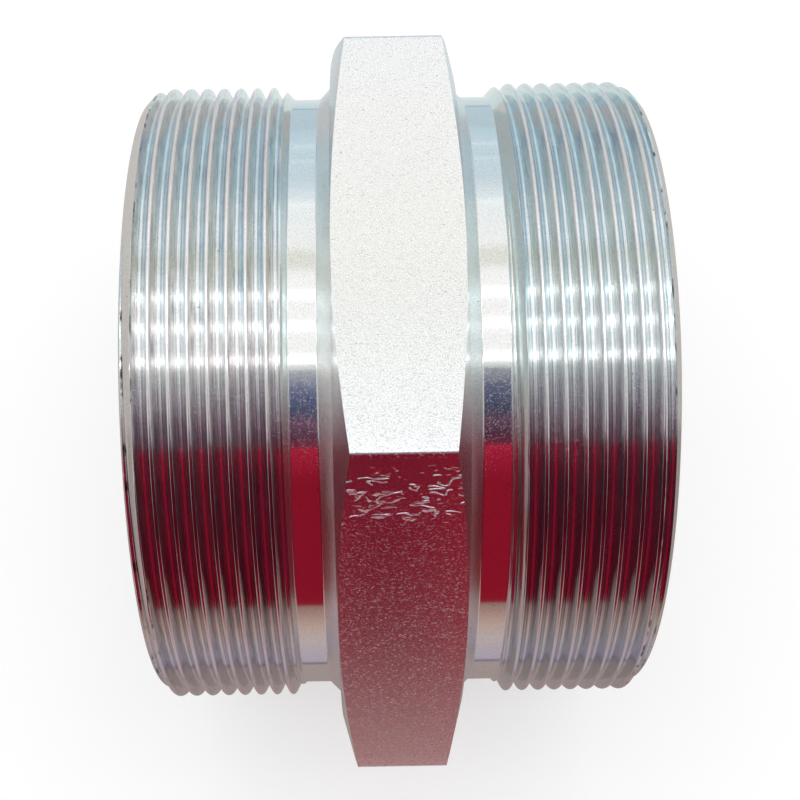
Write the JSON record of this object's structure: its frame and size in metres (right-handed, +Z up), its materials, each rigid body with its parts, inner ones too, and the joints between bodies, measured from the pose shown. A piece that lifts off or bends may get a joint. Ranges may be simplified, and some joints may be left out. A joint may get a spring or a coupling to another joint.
{
  "type": "pipe adapter",
  "caption": "Straight steel pipe adapter: a hexagon between two equal parallel pipe threads, turned necks beside it and an open bore with sealing cones.",
  "frame": {"origin": "on the bore's axis, at the middle of the hexagon's width and of the whole length", "axes": "+X along the bore, +Z up while the adapter lies on one flat of the hexagon"},
  "size_m": [0.0666, 0.1096, 0.095],
  "materials": {
    "zinc_plated_steel": "bright zinc plating over turned steel, faintly blue"
  },
  "bodies": {
    "root": {"adapter_body": "zinc_plated_steel"}
  },
  "joints": []
}
